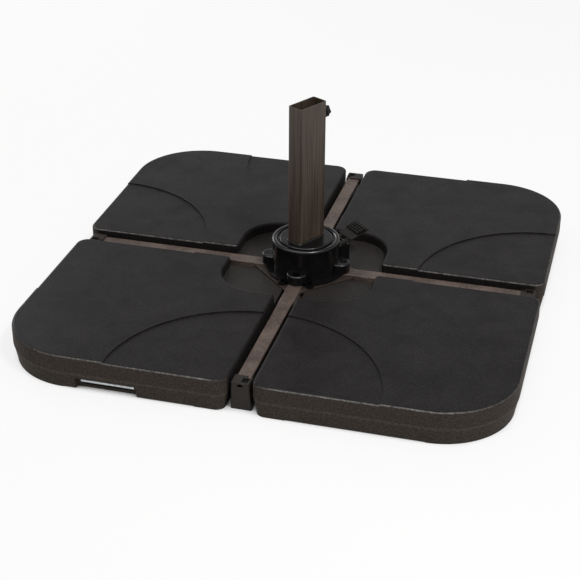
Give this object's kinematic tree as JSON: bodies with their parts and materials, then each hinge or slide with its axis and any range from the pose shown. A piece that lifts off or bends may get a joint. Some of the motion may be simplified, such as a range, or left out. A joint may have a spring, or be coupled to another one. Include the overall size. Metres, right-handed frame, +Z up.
{
  "type": "swivelling parasol base",
  "caption": "Cross-shaped swivelling parasol base with lift-off filled weight plates, a foot-pedal turn lock and a rectangular lower mast with a clamp knob.",
  "frame": {"origin": "on the swivel axis, at floor level", "axes": "+X along the left-to-right tube towards the right end, +Y along the front-to-back tubes towards the back, +Z up along the mast"},
  "size_m": [1, 1, 0.425],
  "materials": {
    "charcoal_plastic": "fine grained moulded charcoal plastic",
    "concrete": "raw cast concrete",
    "bronze_paint": "satin taupe-brown powder coat",
    "mast_paint": "satin dark bronze powder coat",
    "hub_lacquer": "gloss black powder coat",
    "cap_plastic": "moulded dark grey plastic",
    "zinc_steel": "bright zinc plated",
    "bush_bronze": "sintered bronze",
    "washer_plastic": "natural acetal",
    "pedal_plastic": "moulded black nylon",
    "tread_rubber": "studded rubber"
  },
  "bodies": {
    "base": {"cross_beam": "bronze_paint", "arm_front": "bronze_paint", "arm_back": "bronze_paint", "gusset_plates": "bronze_paint", "end_cap_front": "cap_plastic", "end_cap_back": "cap_plastic", "end_cap_left": "cap_plastic", "end_cap_right": "cap_plastic", "spindle": "zinc_steel", "thrust_washer": "washer_plastic", "spindle_washer": "zinc_steel", "spindle_nut": "zinc_steel", "hub_housing": "hub_lacquer", "housing_bolts": "zinc_steel", "housing_nuts": "zinc_steel", "saddle_bolts": "zinc_steel", "pedal_pin": "zinc_steel", "lock_spring": "zinc_steel"},
    "swivel": {"turntable": "hub_lacquer", "lower_bush": "bush_bronze", "upper_bush": "bush_bronze", "detent_ring": "zinc_steel", "detent_screws": "zinc_steel", "mast_tube": "mast_paint", "mast_bolts": "zinc_steel", "mast_nuts": "zinc_steel", "clamp_nut": "zinc_steel"},
    "lock": {"lock_pin": "zinc_steel", "lock_peg": "zinc_steel"},
    "foot_pedal": {"pedal": "pedal_plastic", "pedal_tread": "tread_rubber"},
    "clamp": {"clamp_knob": "pedal_plastic", "clamp_stud": "zinc_steel"},
    "plate_front_left": {"plate_shell_front_left": "charcoal_plastic", "plate_core_front_left": "concrete", "plate_plug_front_left": "charcoal_plastic", "plate_handle_front_left": "zinc_steel"},
    "plate_front_right": {"plate_shell_front_right": "charcoal_plastic", "plate_core_front_right": "concrete", "plate_plug_front_right": "charcoal_plastic", "plate_handle_front_right": "zinc_steel"},
    "plate_back_left": {"plate_shell_back_left": "charcoal_plastic", "plate_core_back_left": "concrete", "plate_plug_back_left": "charcoal_plastic", "plate_handle_back_left": "zinc_steel"},
    "plate_back_right": {"plate_shell_back_right": "charcoal_plastic", "plate_core_back_right": "concrete", "plate_plug_back_right": "charcoal_plastic", "plate_handle_back_right": "zinc_steel"}
  },
  "joints": [
    {"name": "swivel_turn", "type": "hinge", "parent": "base", "child": "swivel", "pos_m": [0, 0, 0.09], "axis": [0, 0, 1], "continuous": true},
    {"name": "pedal_press", "type": "hinge", "parent": "base", "child": "foot_pedal", "pos_m": [0.05445, 0.05445, 0.064], "axis": [-0.7071, 0.7071, 0], "range_deg": [0, 10], "stiffness_Nm_per_rad": 6.5, "springref_deg": -6.3, "deforming": ["lock_spring"]},
    {"name": "pin_draw", "type": "slide", "parent": "base", "child": "lock", "axis": [0.7071, 0.7071, 0], "range_m": [0, 0.0047]},
    {"name": "knob_turn", "type": "hinge", "parent": "swivel", "child": "clamp", "pos_m": [0.02182, 0.03936, 0.395], "axis": [0.4848, 0.8746, 0], "continuous": true},
    {"name": "lift_front_left", "type": "slide", "parent": "base", "child": "plate_front_left", "axis": [0, 0, 1], "range_m": [0, 0.15]},
    {"name": "lift_front_right", "type": "slide", "parent": "base", "child": "plate_front_right", "axis": [0, 0, 1], "range_m": [0, 0.15]},
    {"name": "lift_back_left", "type": "slide", "parent": "base", "child": "plate_back_left", "axis": [0, 0, 1], "range_m": [0, 0.15]},
    {"name": "slide_out_back_right", "type": "slide", "parent": "base", "child": "plate_back_right", "axis": [0.7071, 0.7071, 0], "range_m": [0, 0.2]}
  ],
  "couplings": [
    {"joint": "pin_draw", "follows": "pedal_press", "m_per_rad": 0.0265}
  ]
}
